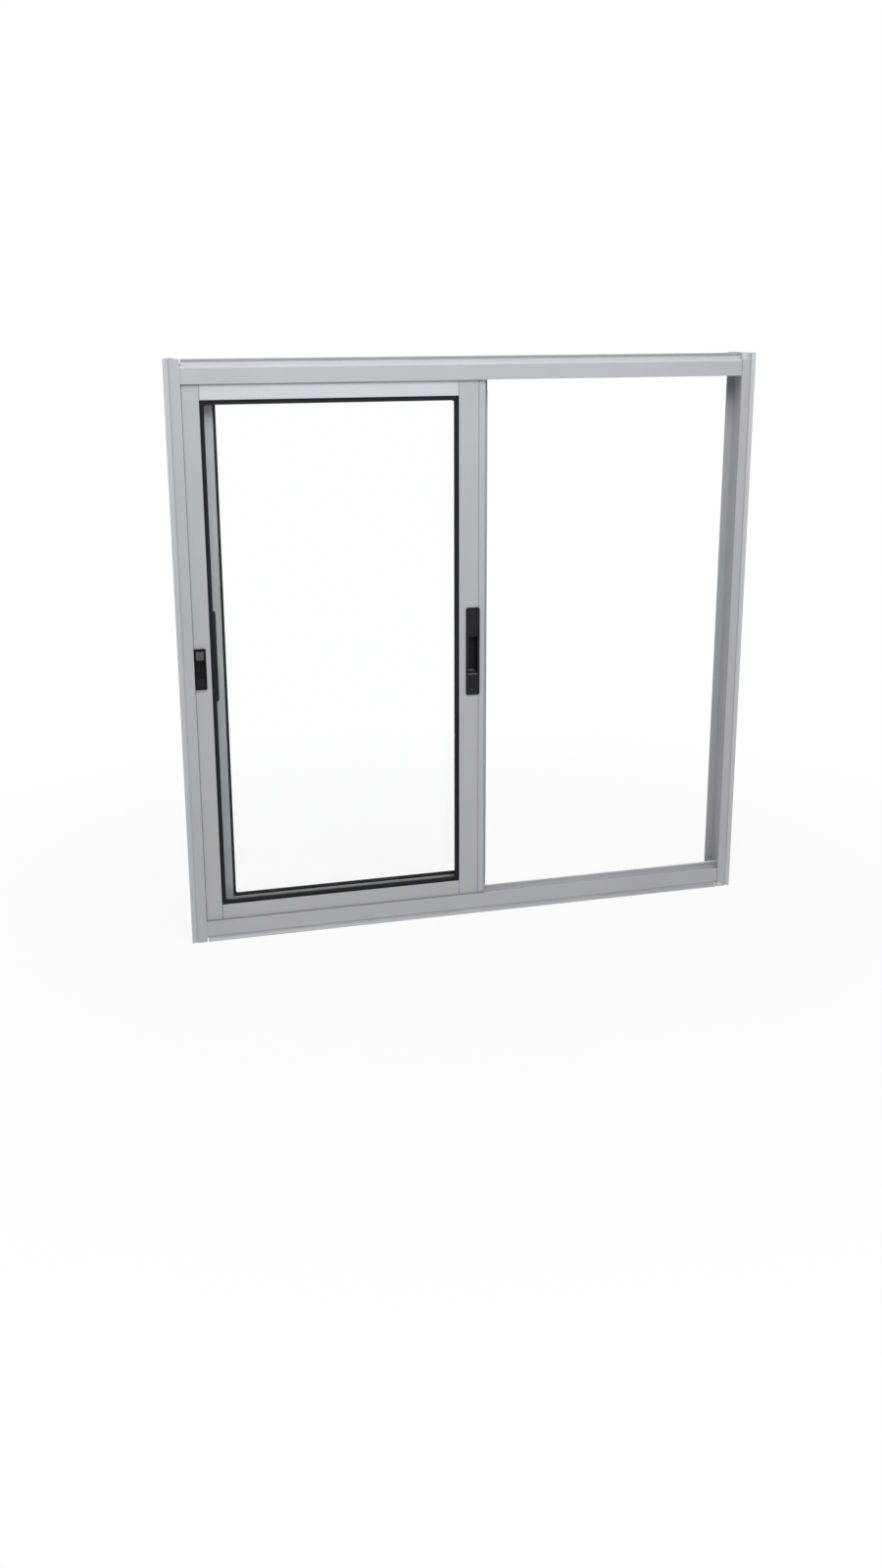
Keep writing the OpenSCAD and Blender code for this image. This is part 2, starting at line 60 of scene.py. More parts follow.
# Eased edges
SECTION_EASE = 0.35 * MM
MOULDING_EASE = 0.45 * MM
SMALL_EASE = 0.2 * MM
GLASS_EASE = 0.5 * MM
EASE_STEPS = 2
SHORTEST_EASED = 1.2 * MM
SHARP_ANGLE = math.radians(28)
FLAT_ANGLE = math.radians(0.4)
WELD = 0.002 * MM

# The glazing vinyl's sections, in millimetres: in from the sash's inner edge, back from the vinyl's front
VINYL_BITE = 9.0 * MM
VINYL_CORNER = 4.0 * MM
VINYL_BACK = ((-1.2, 3.9), (-1.2, 8.9), (2.0, 8.9), (2.0, 10.6), (1.4, 11.9), (-9.0, 11.9))
VINYL_SECTIONS = {
    "front": (
        (-9.0, 0.0), (-0.2, 0.0), (1.7, 0.0), (2.0, 0.6), (2.7, 0.6), (3.0, 0.0),
        (5.6, 0.0), (6.9, 0.3), (7.6, 1.0), (7.8, 1.9), (7.8, 3.9), *VINYL_BACK,
    ),
    "rear": (
        (-9.0, 0.0), (-0.2, 0.0), (1.2, 0.0), (1.5, 0.6), (2.1, 0.6), (2.4, 0.0),
        (3.8, 0.0), (4.8, 0.3), (5.2, 1.0), (5.4, 1.9), (5.4, 3.9), *VINYL_BACK,
    ),
}
CORNER_STEPS = 8

# Corner screws; the rim and the thread's root are shares of the head's height and the shank's radius
SCREW_HEAD_R = 3.6 * MM
SCREW_HEAD_H = 2.0 * MM
SCREW_SHANK_R = 2.0 * MM
SCREW_LENGTH = 20.0 * MM
CROSS_LENGTH = 4.2 * MM
CROSS_WIDTH = 0.9 * MM
CROSS_DEPTH = 1.1 * MM
HEAD_RIM = 0.35
DOME_ANGLES = range(0, 85, 12)
THREAD_PITCH = 1.4 * MM
THREAD_ROOT = 0.8
SCREW_TIP = 3 * MM
TURNED_STEPS = 40

# Bands along the sections, in millimetres: axis, from, to and how much paler or darker; all are painted light
# or shade except the rail ends' dark joint lines
BAND_FADE = 0.3
# Jambs: painted light on the set-back outer fins, and a painted shadow line along the right jamb's front leg
JAMB_LIGHT_AND_SHADE = (("X", -521.0, -512.4, 1.15), ("X", 512.4, 521.0, 1.15), ("X", 493.2, 494.8, 0.62))
# Sill: painted shade dims the lit lip at the foot, and painted light fills the shade of the groove above it
SILL_LIGHT_AND_SHADE = (("Z", 1.4, 4.6, 0.94), ("Z", 5.0, 9.4, 1.3))
# Sill rails: a painted highlight along the mid rail's top edge
SILL_RAIL_HIGHLIGHT = (("Z", 41.2, 42.4, 1.25),)
# Head: painted light on the upward-facing ridge and on the strip above it
HEAD_PAINTED_LIGHT = (("Z", 985.6, 989.0, 1.2), ("Z", 989.6, 997.4, 1.22))
# Meeting stile: a painted shadow line where the jamb's front leg passes over it
MEETING_STILE_SHADOW = (("X", -494.0, -492.0, 0.42),)
# Lock stile: painted shade in its groove and along its outer edge
LOCK_STILE_SHADE = (("X", 8.6, 10.2, 0.78), ("X", 20.6, 21.6, 0.6))
RAIL_END_BANDS = (("X", -465.0, -463.2, 0.5), ("X", -27.1, -25.0, 0.5))

# Painted light on the mouldings, in millimetres: x from, x to, z from, z to, grey
# A painted highlight along the lower edge of the pull plate's recess
PLATE_HIGHLIGHT = ((-9.2, 7.2, 452.9, 454.2, 0.13),)
# A painted highlight on the thumb slider's top ridge
SLIDER_HIGHLIGHT = ((-9.6, 1.6, 459.6, 460.9, 0.12),)
# A painted glint on the latch's thumb button
BUTTON_GLINT = ((-487.6, -486.2, 518.9, 520.3, 0.22),)
# Painted light on the latch's sloped lower ramp
LATCH_RAMP_LIGHT = ((-490.2, -475.7, 462.0, 475.6, 0.016),)

# The painted light's grey is slightly blue
PAINTED_LIGHT_TINT = (1.0, 1.02, 1.06)

# Painted shade: how a finger recess darkens from its mouth to its floor
RECESS_SHADE = 0.4
FRONT_RECESS_DEPTH = (-27.4 * MM, -22.0 * MM)
REAR_RECESS_DEPTH = (3.6 * MM, 9.0 * MM)

# Light
WHITE = (1.0, 1.0, 1.0)
BACKDROP_STRENGTH = 1.0
FILL_COLOR = (0.96, 0.98, 1.0)
FILL_STRENGTH = 0.34

# Lamps: name, place, target, size in metres, power in watts and colour
LAMPS = (
    ("key_light", (-0.3, -1.5, 2.2), (0.0, 0.0, 0.8), 1.2, 27.0, WHITE),
    ("upper_light", (0.1, -1.0, 2.05), (0.0, 0.0, 0.95), 0.7, 6.0, (0.93, 0.97, 1.0)),
    ("rear_light", (0.6, 2.8, 2.2), (0.0, 0.0, 0.5), 2.0, 14.0, WHITE),
)

# Floor; its glow rises from the first share to the second between the two distances of its fade
FLOOR_RADIUS = 14.0
FLOOR_STEPS = 64
FLOOR_TONE = (0.79, 0.80)
FLOOR_ROUGHNESS = 0.9
FLOOR_GLOW = (0.90, 1.0)
FLOOR_FADE = (0.5, 1.4)

# The colour sockets of a Mix node
MIX_FIRST = 6
MIX_SECOND = 7
MIX_RESULT = 2

# Most values of a noise lie between these
NOISE_LOW = 0.3
NOISE_HIGH = 0.7

# Noises: stretch, scale, detail and roughness
EVEN = (1.0, 1.0, 1.0)
DIE_LINES = {
    "x": ((1.0, 60.0, 60.0), 22.0, 4.0, 0.6),
    "z": ((60.0, 60.0, 1.0), 22.0, 4.0, 0.6),
}
CLOUDS = (EVEN, 7.0, 2.0, 0.55)
METAL_GRAIN = (EVEN, 1400.0, 2.0, 0.55)
SCUFFS = ((40.0, 12.0, 14.0), 9.0, 5.0, 0.7)
VINYL_BLOOM = (EVEN, 30.0, 4.0, 0.55)
VINYL_GRAIN = (EVEN, 900.0, 2.0, 0.55)
PLASTIC_MOTTLE = (EVEN, 45.0, 4.0, 0.55)
PLASTIC_TEXTURE = (EVEN, 1600.0, 2.0, 0.55)
PLATING_WEAR = (EVEN, 420.0, 4.0, 0.55)
GLASS_FILM = (EVEN, 6.0, 4.0, 0.55)
FLOOR_MOTTLE = (EVEN, 3.0, 3.0, 0.55)

# Aluminium; each tone and roughness is the range that a noise spreads over
ALUMINIUM = (0.480, 0.489, 0.500)
# A paler, lit copy of the tone for the front top rail and the corner blocks: painted light
ALUMINIUM_LIT = (0.60, 0.612, 0.635)
# A darker, shaded copy of the tone for the rear sash behind the glass: painted shade
ALUMINIUM_REAR_SHADED = (0.41, 0.42, 0.43)
# A paler copy for the sill rails: painted light that lifts their shaded front faces
ALUMINIUM_SILL_RAILS_LIT = (0.74, 0.75, 0.76)
ALUMINIUM_METALLIC = 0.15
ALUMINIUM_GLOSS = 0.3
DIE_LINE_TONE = (0.985, 1.012)
CLOUD_TONE = (0.975, 1.02)
SCUFF_TONE = (1.0, 0.965)
SCUFF_RANGE = (0.62, 0.78)
DIE_LINE_ROUGHNESS = (0.36, 0.44)
CLOUD_ROUGHNESS = (-0.03, 0.03)
LINE_RELIEF = 0.6
GRAIN_RELIEF = 0.4
ALUMINIUM_BUMP = (0.12, 0.05 * MM)

# Vinyl
VINYL_SHADES = ((0.007, 0.008, 0.010), (0.013, 0.015, 0.018))
VINYL_ROUGHNESS = (0.45, 0.6)
VINYL_GLOSS = 0.16
VINYL_BUMP = (0.2, 0.05 * MM)

# Plastics: two shades, roughness, texture depth and gloss
BLACK_PLASTIC = (((0.006, 0.0075, 0.0095), (0.0105, 0.0125, 0.015)), 0.5, 0.06 * MM, 0.2)
LATCH_PLASTIC = (((0.004, 0.005, 0.006), (0.008, 0.009, 0.01)), 0.5, 0.06 * MM, 0.1)
GREY_PLASTIC = (((0.075, 0.08, 0.085), (0.10, 0.105, 0.115)), 0.4, 0.03 * MM, 0.3)
NYLON = (((0.70, 0.69, 0.63), (0.80, 0.79, 0.74)), 0.5, 0.02 * MM, 0.3)
PLASTIC_ROUGHNESS_SPREAD = (-0.05, 0.07)
PLASTIC_BUMP = 0.3

# Plated steel: colour, roughness and metallic
BLACKENED_STEEL = ((0.012, 0.013, 0.014), 0.45, 0.4)
ZINC = ((0.55, 0.56, 0.58), 0.35, 0.9)
PLATING_TONE = (0.82, 1.1)
PLATING_ROUGHNESS_SPREAD = (-0.08, 0.1)
PLATING_BUMP = (0.15, 0.05 * MM)

# Glass
GLASS_TINT = (0.997, 1.0, 0.999)
GLASS_IOR = 1.45
GLASS_GLOSS = (0.15, 0.15, 0.15)
PANE_SHADOW = (0.78, 0.80, 0.79)
FILM_ROUGHNESS = (0.0, 0.01)
FILM_TONE = (0.997, 1.0)


# Materials


def new_material(name):
    """A node material with its Principled shader and an object coordinate."""
    material = bpy.data.materials.new(name)
    material.use_nodes = True
    nodes = material.node_tree.nodes
    coordinate = nodes.new("ShaderNodeTexCoord")
    return material, material.node_tree, nodes["Principled BSDF"], coordinate.outputs["Object"]


def noise(tree, vector, stretch, scale, detail, roughness):
    """Noise whose grain is stretched by scaling the coordinate."""
    mapping = tree.nodes.new("ShaderNodeMapping")
    mapping.inputs["Scale"].default_value = stretch
    tree.links.new(vector, mapping.inputs["Vector"])
    texture = tree.nodes.new("ShaderNodeTexNoise")
    texture.inputs["Scale"].default_value = scale
    texture.inputs["Detail"].default_value = detail
    texture.inputs["Roughness"].default_value = roughness
    tree.links.new(mapping.outputs["Vector"], texture.inputs["Vector"])
    return texture.outputs["Fac"]


def remap(tree, value, low, high, start=NOISE_LOW, end=NOISE_HIGH):
    """The value between start and end, spread from low to high."""
    node = tree.nodes.new("ShaderNodeMapRange")
    node.inputs["From Min"].default_value = start
    node.inputs["From Max"].default_value = end
    node.inputs["To Min"].default_value = low
    node.inputs["To Max"].default_value = high
    tree.links.new(value, node.inputs["Value"])
    return node.outputs["Result"]


def math_node(tree, operation, first, second):
    """A Math node on two sockets or numbers."""
    node = tree.nodes.new("ShaderNodeMath")
    node.operation = operation
    for socket, value in zip(node.inputs, (first, second)):
        if isinstance(value, (int, float)):
            socket.default_value = value
        else:
            tree.links.new(value, socket)
    return node.outputs[0]


def tinted(tree, color, factor):
    """The colour, a tuple or a socket, times a grey factor."""
    node = tree.nodes.new("ShaderNodeMix")
    node.data_type = "RGBA"
    node.blend_type = "MULTIPLY"
    node.inputs["Factor"].default_value = 1.0
    if isinstance(color, tuple):
        node.inputs[MIX_FIRST].default_value = (*color, 1.0)
    else:
        tree.links.new(color, node.inputs[MIX_FIRST])
    grey = tree.nodes.new("ShaderNodeCombineColor")
    for channel in ("Red", "Green", "Blue"):
        tree.links.new(factor, grey.inputs[channel])
    tree.links.new(grey.outputs["Color"], node.inputs[MIX_SECOND])
    return node.outputs[MIX_RESULT]


def blended(tree, factor, first, second):
    """Two colours mixed by a factor."""
    node = tree.nodes.new("ShaderNodeMix")
    node.data_type = "RGBA"
    tree.links.new(factor, node.inputs["Factor"])
    for socket, value in ((node.inputs[MIX_FIRST], first), (node.inputs[MIX_SECOND], second)):
        if isinstance(value, tuple):
            socket.default_value = (*value, 1.0)
        else:
            tree.links.new(value, socket)
    return node.outputs[MIX_RESULT]


def bump(tree, height, shader, strength, distance):
    """A bump from a height socket."""
    node = tree.nodes.new("ShaderNodeBump")
    node.inputs["Strength"].default_value = strength
    node.inputs["Distance"].default_value = distance
    tree.links.new(height, node.inputs["Height"])
    tree.links.new(node.outputs["Normal"], shader.inputs["Normal"])


def inside(tree, place, axis, start, end):
    """1 where the axis lies between start and end, in millimetres, with soft ends."""
    split = tree.nodes.new("ShaderNodeSeparateXYZ")
    tree.links.new(place, split.inputs["Vector"])
    rise = remap(tree, split.outputs[axis], 0.0, 1.0, (start - BAND_FADE) * MM, start * MM)
    fall = remap(tree, split.outputs[axis], 1.0, 0.0, end * MM, (end + BAND_FADE) * MM)
    return math_node(tree, "MULTIPLY", rise, fall)


def banded(tree, place, factor, bands):
    """The factor times each band's gain inside that band."""
    for axis, start, end, gain in bands:
        share = inside(tree, place, axis, start, end)
        factor = math_node(tree, "MULTIPLY", factor, remap(tree, share, 1.0, gain, 0.0, 1.0))
    return factor


def with_painted_light(tree, place, color, painted_light):
    """The colour with painted highlights and lit patches, each from x to x and from z to z in its own grey.
    """
    for x0, x1, z0, z1, grey in painted_light:
        across = inside(tree, place, "X", x0, x1)
        share = math_node(tree, "MULTIPLY", across, inside(tree, place, "Z", z0, z1))
        color = blended(tree, share, color, tuple(grey * part for part in PAINTED_LIGHT_TINT))
    return color


def anodised(name, along, color, bands=()):
    """Natural anodised aluminium with its extrusion lines along X or Z, and bands of painted light and shade
    or dark joint lines.
    """
    material, tree, shader, place = new_material(name)
    die_lines = noise(tree, place, *DIE_LINES[along])
    clouds = noise(tree, place, *CLOUDS)
    grain = noise(tree, place, *METAL_GRAIN)
    scuffs = noise(tree, place, *SCUFFS)

    lined = remap(tree, die_lines, *DIE_LINE_TONE)
    tone = math_node(tree, "MULTIPLY", lined, remap(tree, clouds, *CLOUD_TONE))
    worn = math_node(tree, "MULTIPLY", tone, remap(tree, scuffs, *SCUFF_TONE, *SCUFF_RANGE))
    tree.links.new(tinted(tree, color, banded(tree, place, worn, bands)), shader.inputs["Base Color"])

    satin = remap(tree, die_lines, *DIE_LINE_ROUGHNESS)
    shine = math_node(tree, "ADD", satin, remap(tree, clouds, *CLOUD_ROUGHNESS))
    tree.links.new(shine, shader.inputs["Roughness"])
    lines_share = math_node(tree, "MULTIPLY", die_lines, LINE_RELIEF)
    relief = math_node(tree, "ADD", lines_share, math_node(tree, "MULTIPLY", grain, GRAIN_RELIEF))
    bump(tree, relief, shader, *ALUMINIUM_BUMP)
    shader.inputs["Metallic"].default_value = ALUMINIUM_METALLIC
    shader.inputs["Specular IOR Level"].default_value = ALUMINIUM_GLOSS
    return material


def vinyl():
    """Satin black vinyl with a faint bloom."""
    material, tree, shader, place = new_material("black_vinyl")
    bloom = noise(tree, place, *VINYL_BLOOM)
    grain = noise(tree, place, *VINYL_GRAIN)
    color = blended(tree, remap(tree, bloom, 0.0, 1.0), *VINYL_SHADES)
    tree.links.new(color, shader.inputs["Base Color"])
    tree.links.new(remap(tree, bloom, *VINYL_ROUGHNESS), shader.inputs["Roughness"])
    shader.inputs["Specular IOR Level"].default_value = VINYL_GLOSS
    bump(tree, grain, shader, *VINYL_BUMP)
    return material


def moulded(name, plastic, painted_light=(), recess=None):
    """A fine textured moulding, with painted highlights and painted shade deepening into its recess where it
    has them.
    """
    shades, rough, texture_depth, gloss = plastic
    material, tree, shader, place = new_material(name)
    mottle = noise(tree, place, *PLASTIC_MOTTLE)
    texture = noise(tree, place, *PLASTIC_TEXTURE)
    color = blended(tree, remap(tree, mottle, 0.0, 1.0), *shades)
    # Painted shade, darker the deeper into the finger recess
    if recess:
        split = tree.nodes.new("ShaderNodeSeparateXYZ")
        tree.links.new(place, split.inputs["Vector"])
        color = tinted(tree, color, remap(tree, split.outputs["Y"], 1.0, RECESS_SHADE, *recess))
    tree.links.new(with_painted_light(tree, place, color, painted_light), shader.inputs["Base Color"])
    roughness = remap(tree, mottle, *(rough + more for more in PLASTIC_ROUGHNESS_SPREAD))
    tree.links.new(roughness, shader.inputs["Roughness"])
    shader.inputs["Specular IOR Level"].default_value = gloss
    bump(tree, texture, shader, PLASTIC_BUMP, texture_depth)
    return material


def plated(name, steel):
    """Plated steel with fine wear."""
    color, rough, metallic = steel
    material, tree, shader, place = new_material(name)
    wear = noise(tree, place, *PLATING_WEAR)
    tree.links.new(tinted(tree, color, remap(tree, wear, *PLATING_TONE)), shader.inputs["Base Color"])
    roughness = remap(tree, wear, *(rough + more for more in PLATING_ROUGHNESS_SPREAD))
    tree.links.new(roughness, shader.inputs["Roughness"])
    bump(tree, wear, shader, *PLATING_BUMP)
    shader.inputs["Metallic"].default_value = metallic
    return material


def clear_glass():
    """Clear float glass that lets the lamps through, with a faint film on it."""
    material, tree, shader, place = new_material("clear_glass")
    film = noise(tree, place, *GLASS_FILM)
    tree.links.new(remap(tree, film, *FILM_ROUGHNESS), shader.inputs["Roughness"])
    tree.links.new(tinted(tree, GLASS_TINT, remap(tree, film, *FILM_TONE)), shader.inputs["Base Color"])
    shader.inputs["Transmission Weight"].default_value = 1.0
    shader.inputs["IOR"].default_value = GLASS_IOR
    shader.inputs["Specular Tint"].default_value = (*GLASS_GLOSS, 1.0)
    paths = tree.nodes.new("ShaderNodeLightPath")
    clear = tree.nodes.new("ShaderNodeBsdfTransparent")
    clear.inputs["Color"].default_value = (*PANE_SHADOW, 1.0)
    mix = tree.nodes.new("ShaderNodeMixShader")
    tree.links.new(paths.outputs["Is Shadow Ray"], mix.inputs["Fac"])
    tree.links.new(shader.outputs["BSDF"], mix.inputs[1])
    tree.links.new(clear.outputs["BSDF"], mix.inputs[2])
    tree.links.new(mix.outputs["Shader"], tree.nodes["Material Output"].inputs["Surface"])
    return material


# Meshes


def finished(mesh, name, slot, material, *nodes):
    """The mesh as a named piece on the body, standing for its CAD nodes."""
    mesh.materials.clear()
    mesh.materials.append(material)
    mesh.shade_smooth()
    mesh.set_sharp_from_angle(angle=SHARP_ANGLE)
    piece = bpy.data.objects.new(name, mesh)
    bpy.context.scene.collection.objects.link(piece)
    normals = piece.modifiers.new("even_normals", "WEIGHTED_NORMAL")
    normals.keep_sharp = True
    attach(piece, "root")
    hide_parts(*nodes)
    return piece


def welded(node):
    """A working copy of a CAD node's mesh, with flat faces in one piece."""
    work = bmesh.new()
    work.from_mesh(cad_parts[node].data)
    bmesh.ops.remove_doubles(work, verts=work.verts, dist=WELD)
    bmesh.ops.dissolve_limit(work, angle_limit=FLAT_ANGLE, verts=work.verts, edges=work.edges)
    bmesh.ops.recalc_face_normals(work, faces=work.faces)
    return work


def sharp_edges(work, shortest):
    """The sharp edges that are longer than the shortest length."""
    return [
        edge
        for edge in work.edges
        if len(edge.link_faces) == 2
        and edge.calc_length() > shortest
        and edge.calc_face_angle(0) > SHARP_ANGLE
    ]


def softened(node, name, slot, material, ease):
    """A CAD node's copy with eased edges, standing for that node."""
    work = welded(node)
    edges = sharp_edges(work, SHORTEST_EASED)
    bmesh.ops.bevel(
        work, geom=edges, offset=ease, offset_type="OFFSET", segments=EASE_STEPS, profile=0.5,
        affect="EDGES", clamp_overlap=True,
    )
    mesh = bpy.data.meshes.new(name)
    work.to_mesh(mesh)
    work.free()
    return finished(mesh, name, slot, material, node)


def corner_ring(half_w, half_h, inset, radius):
    """Points round a rectangle with rounded corners, inset from its half sizes."""
    points = []
    for quarter, (sx, sz) in enumerate(((1, 1), (-1, 1), (-1, -1), (1, -1))):
        cx = sx * (half_w - inset - radius)
        cz = sz * (half_h - inset - radius)
        for step in range(CORNER_STEPS + 1):
            angle = math.radians(90 * (quarter + step / CORNER_STEPS))
            points.append((cx + radius * math.cos(angle), cz + radius * math.sin(angle)))
    return points


def vinyl_ring(node, name, material, section):
    """The glazing channel, swept round the pane with rounded corners."""
    show = max(across for across, back in section) * MM
    low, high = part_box(node)
    centre = (low + high) / 2
    half_w = (high.x - low.x) / 2
    half_h = (high.z - low.z) / 2
    work = bmesh.new()
    rings = []
    for across, back in section:
        inward = across * MM
        radius = VINYL_CORNER + show - inward
        loop = corner_ring(half_w, half_h, VINYL_BITE + inward, radius)
        rings.append([
            work.verts.new((centre.x + x, low.y + back * MM, centre.z + z)) for x, z in loop
        ])
    count = len(rings[0])
    for here, there in zip(rings, rings[1:] + rings[:1]):
        for i in range(count):
            j = (i + 1) % count
            work.faces.new((here[i], here[j], there[j], there[i]))
    bmesh.ops.recalc_face_normals(work, faces=work.faces)
    mesh = bpy.data.meshes.new(name)
    work.to_mesh(mesh)
    work.free()
    return finished(mesh, name, "black_vinyl", material, node)


def turned(profile):
    """A solid of revolution round Z from points of radius and height."""
    work = bmesh.new()
    rings = []
    for radius, height in profile:
        if radius == 0:
            rings.append([work.verts.new((0, 0, height))])
            continue
        rings.append([
            work.verts.new((
                radius * math.cos(2 * math.pi * i / TURNED_STEPS),
                radius * math.sin(2 * math.pi * i / TURNED_STEPS),
                height,
            ))
            for i in range(TURNED_STEPS)
        ])
    for here, there in zip(rings, rings[1:]):
        for i in range(TURNED_STEPS):
            j = (i + 1) % TURNED_STEPS
            if len(here) == 1:
                work.faces.new((here[0], there[i], there[j]))
            elif len(there) == 1:
                work.faces.new((here[i], here[j], there[0]))
            else:
                work.faces.new((here[i], here[j], there[j], there[i]))
    bmesh.ops.recalc_face_normals(work, faces=work.faces)
    return work


def loose_object(name, work):
    """A plain object from a working mesh."""
    mesh = bpy.data.meshes.new(name)
    work.to_mesh(mesh)
    work.free()
    thing = bpy.data.objects.new(name, mesh)
    bpy.context.scene.collection.objects.link(thing)
    return thing


def cut_mesh(solid, cutter):
    """The solid's mesh less the cutter; both objects are removed."""
    cut = solid.modifiers.new("cut", "BOOLEAN")
    cut.object = cutter
    cut.solver = "EXACT"
    ready = solid.evaluated_get(bpy.context.evaluated_depsgraph_get())
    mesh = bpy.data.meshes.new_from_object(ready)
    bpy.data.objects.remove(solid)
    bpy.data.objects.remove(cutter)
    return mesh


def screw_profile():
    """Radius and height up a pan head screw, from its tip to the top of its head."""
    root_radius = SCREW_SHANK_R * THREAD_ROOT
    thread = []
    for turn in range(int((SCREW_LENGTH - SCREW_TIP) / THREAD_PITCH)):
        z = -SCREW_LENGTH + SCREW_TIP + turn * THREAD_PITCH
        thread += [(root_radius, z), (SCREW_SHANK_R, z + 0.5 * THREAD_PITCH)]
    dome = []
    for angle in DOME_ANGLES:
        rise = HEAD_RIM + (1 - HEAD_RIM) * math.sin(math.radians(angle))
        dome.append((SCREW_HEAD_R * math.cos(math.radians(angle)), SCREW_HEAD_H * rise))
    neck = [(root_radius, 0), (SCREW_HEAD_R, 0)]
    return [(0, -SCREW_LENGTH)] + thread + neck + dome + [(0, SCREW_HEAD_H)]


def screw_mesh():
    """A pan head screw with a cross recess; its head stands up along Z."""
    solid = loose_object("screw_solid", turned(screw_profile()))
    work = bmesh.new()
    for size in ((CROSS_LENGTH, CROSS_WIDTH), (CROSS_WIDTH, CROSS_LENGTH)):
        scale = Matrix.Diagonal((*size, 2 * CROSS_DEPTH, 1))
        bmesh.ops.create_cube(work, size=1, matrix=Matrix.Translation((0, 0, SCREW_HEAD_H)) @ scale)
    return cut_mesh(solid, loose_object("cross_cutter", work))


def corner_screws(material):
    """The screws through the jambs into the sill and head."""
    low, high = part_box("corner_screws")
    single = screw_mesh()
    work = bmesh.new()
    for seat, side in corner_screw_seats(low, high):
        turn = Matrix.Rotation(math.radians(90 * side), 4, "Y")
        copy = single.copy()
        copy.transform(Matrix.Translation(seat) @ turn)
        work.from_mesh(copy)
        bpy.data.meshes.remove(copy)
    mesh = bpy.data.meshes.new("corner_screws_pan_head")
    work.to_mesh(mesh)
    work.free()
    return finished(mesh, "corner_screws_pan_head", "steel_screws", material, "corner_screws")


def corner_screw_seats(low, high):
    """Where each head meets the web, and the side that it points to."""
    seats = []
    for side in (-1, 1):
        seat_x = side * (high.x - SCREW_HEAD_H)
        for y in (low.y + SCREW_HEAD_R, high.y - SCREW_HEAD_R):
            for z in (low.z + SCREW_HEAD_R, high.z - SCREW_HEAD_R):
                seats.append((Vector((seat_x, y, z)), side))
    return seats


# Stage


def white_world():
    """White where it is seen, and a plain fill where it lights."""
    world = bpy.data.worlds.new("studio")
    world.use_nodes = True
    tree = world.node_tree
    tree.nodes.clear()
    seen = tree.nodes.new("ShaderNodeBackground")
    seen.inputs["Color"].default_value = (*WHITE, 1.0)
    seen.inputs["Strength"].default_value = BACKDROP_STRENGTH
    fill = tree.nodes.new("ShaderNodeBackground")
    fill.inputs["Color"].default_value = (*FILL_COLOR, 1.0)
    fill.inputs["Strength"].default_value = FILL_STRENGTH
    mix = tree.nodes.new("ShaderNodeMixShader")
    output = tree.nodes.new("ShaderNodeOutputWorld")
    tree.links.new(seen_rays(tree), mix.inputs["Fac"])
    tree.links.new(fill.outputs["Background"], mix.inputs[1])
    tree.links.new(seen.outputs["Background"], mix.inputs[2])
    tree.links.new(mix.outputs["Shader"], output.inputs["Surface"])
    bpy.context.scene.world = world


def seen_rays(tree):
    """1 for rays from the camera, a reflection or through glass, and 0 for light on matt surfaces."""
    paths = tree.nodes.new("ShaderNodeLightPath")
    first = math_node(tree, "MAXIMUM", paths.outputs["Is Camera Ray"], paths.outputs["Is Glossy Ray"])
    seen = math_node(tree, "MAXIMUM", first, paths.outputs["Is Transmission Ray"])
    unscattered = math_node(tree, "LESS_THAN", paths.outputs["Diffuse Depth"], 0.5)
    return math_node(tree, "MULTIPLY", seen, unscattered)


def floor():
    """A pale floor that fades to the white backdrop and keeps the shadow."""
    material, tree, shader, place = new_material("pale_floor")
    mottle = noise(tree, place, *FLOOR_MOTTLE)
    tone = tinted(tree, WHITE, remap(tree, mottle, *FLOOR_TONE))
    tree.links.new(tone, shader.inputs["Base Color"])
    shader.inputs["Roughness"].default_value = FLOOR_ROUGHNESS
    glow = tree.nodes.new("ShaderNodeEmission")
    glow.inputs["Color"].default_value = (*WHITE, 1.0)
    glow.inputs["Strength"].default_value = BACKDROP_STRENGTH
    length = tree.nodes.new("ShaderNodeVectorMath")
    length.operation = "LENGTH"
    tree.links.new(place, length.inputs[0])
    fade = remap(tree, length.outputs["Value"], *FLOOR_GLOW, *FLOOR_FADE)
    share = math_node(tree, "MULTIPLY", fade, seen_rays(tree))
    mix = tree.nodes.new("ShaderNodeMixShader")
    tree.links.new(share, mix.inputs["Fac"])
    tree.links.new(shader.outputs["BSDF"], mix.inputs[1])
    tree.links.new(glow.outputs["Emission"], mix.inputs[2])
    tree.links.new(mix.outputs["Shader"], tree.nodes["Material Output"].inputs["Surface"])

    work = bmesh.new()
    bmesh.ops.create_circle(work, cap_ends=True, segments=FLOOR_STEPS, radius=FLOOR_RADIUS)
    ground = loose_object("floor", work)
    ground.data.materials.append(material)


def lights():
    """A soft key high in front of the window, a small light nearer its top, and a weak one behind."""
    for name, place, target, size, power, color in LAMPS:
        lamp = bpy.data.lights.new(name, "AREA")
        lamp.size = size
        lamp.energy = power
        lamp.color = color
        holder = bpy.data.objects.new(name, lamp)
        holder.location = place
        holder.rotation_euler = (Vector(target) - Vector(place)).to_track_quat("-Z", "Y").to_euler()
        bpy.context.scene.collection.objects.link(holder)


def camera():
    """The camera at the photograph's place."""
    lens = bpy.data.cameras.new("photo_camera")
    lens.sensor_fit = "VERTICAL"
    lens.sensor_height = SENSOR_HEIGHT
    lens.lens = FOCAL_PIXELS * SENSOR_HEIGHT / IMAGE_HEIGHT
    lens.clip_end = CAMERA_REACH
    holder = bpy.data.objects.new("photo_camera", lens)
    holder.location = CAMERA_PLACE
    holder.rotation_euler = [math.radians(angle) for angle in CAMERA_TURN]
    bpy.context.scene.collection.objects.link(holder)
    bpy.context.scene.camera = holder


# The window


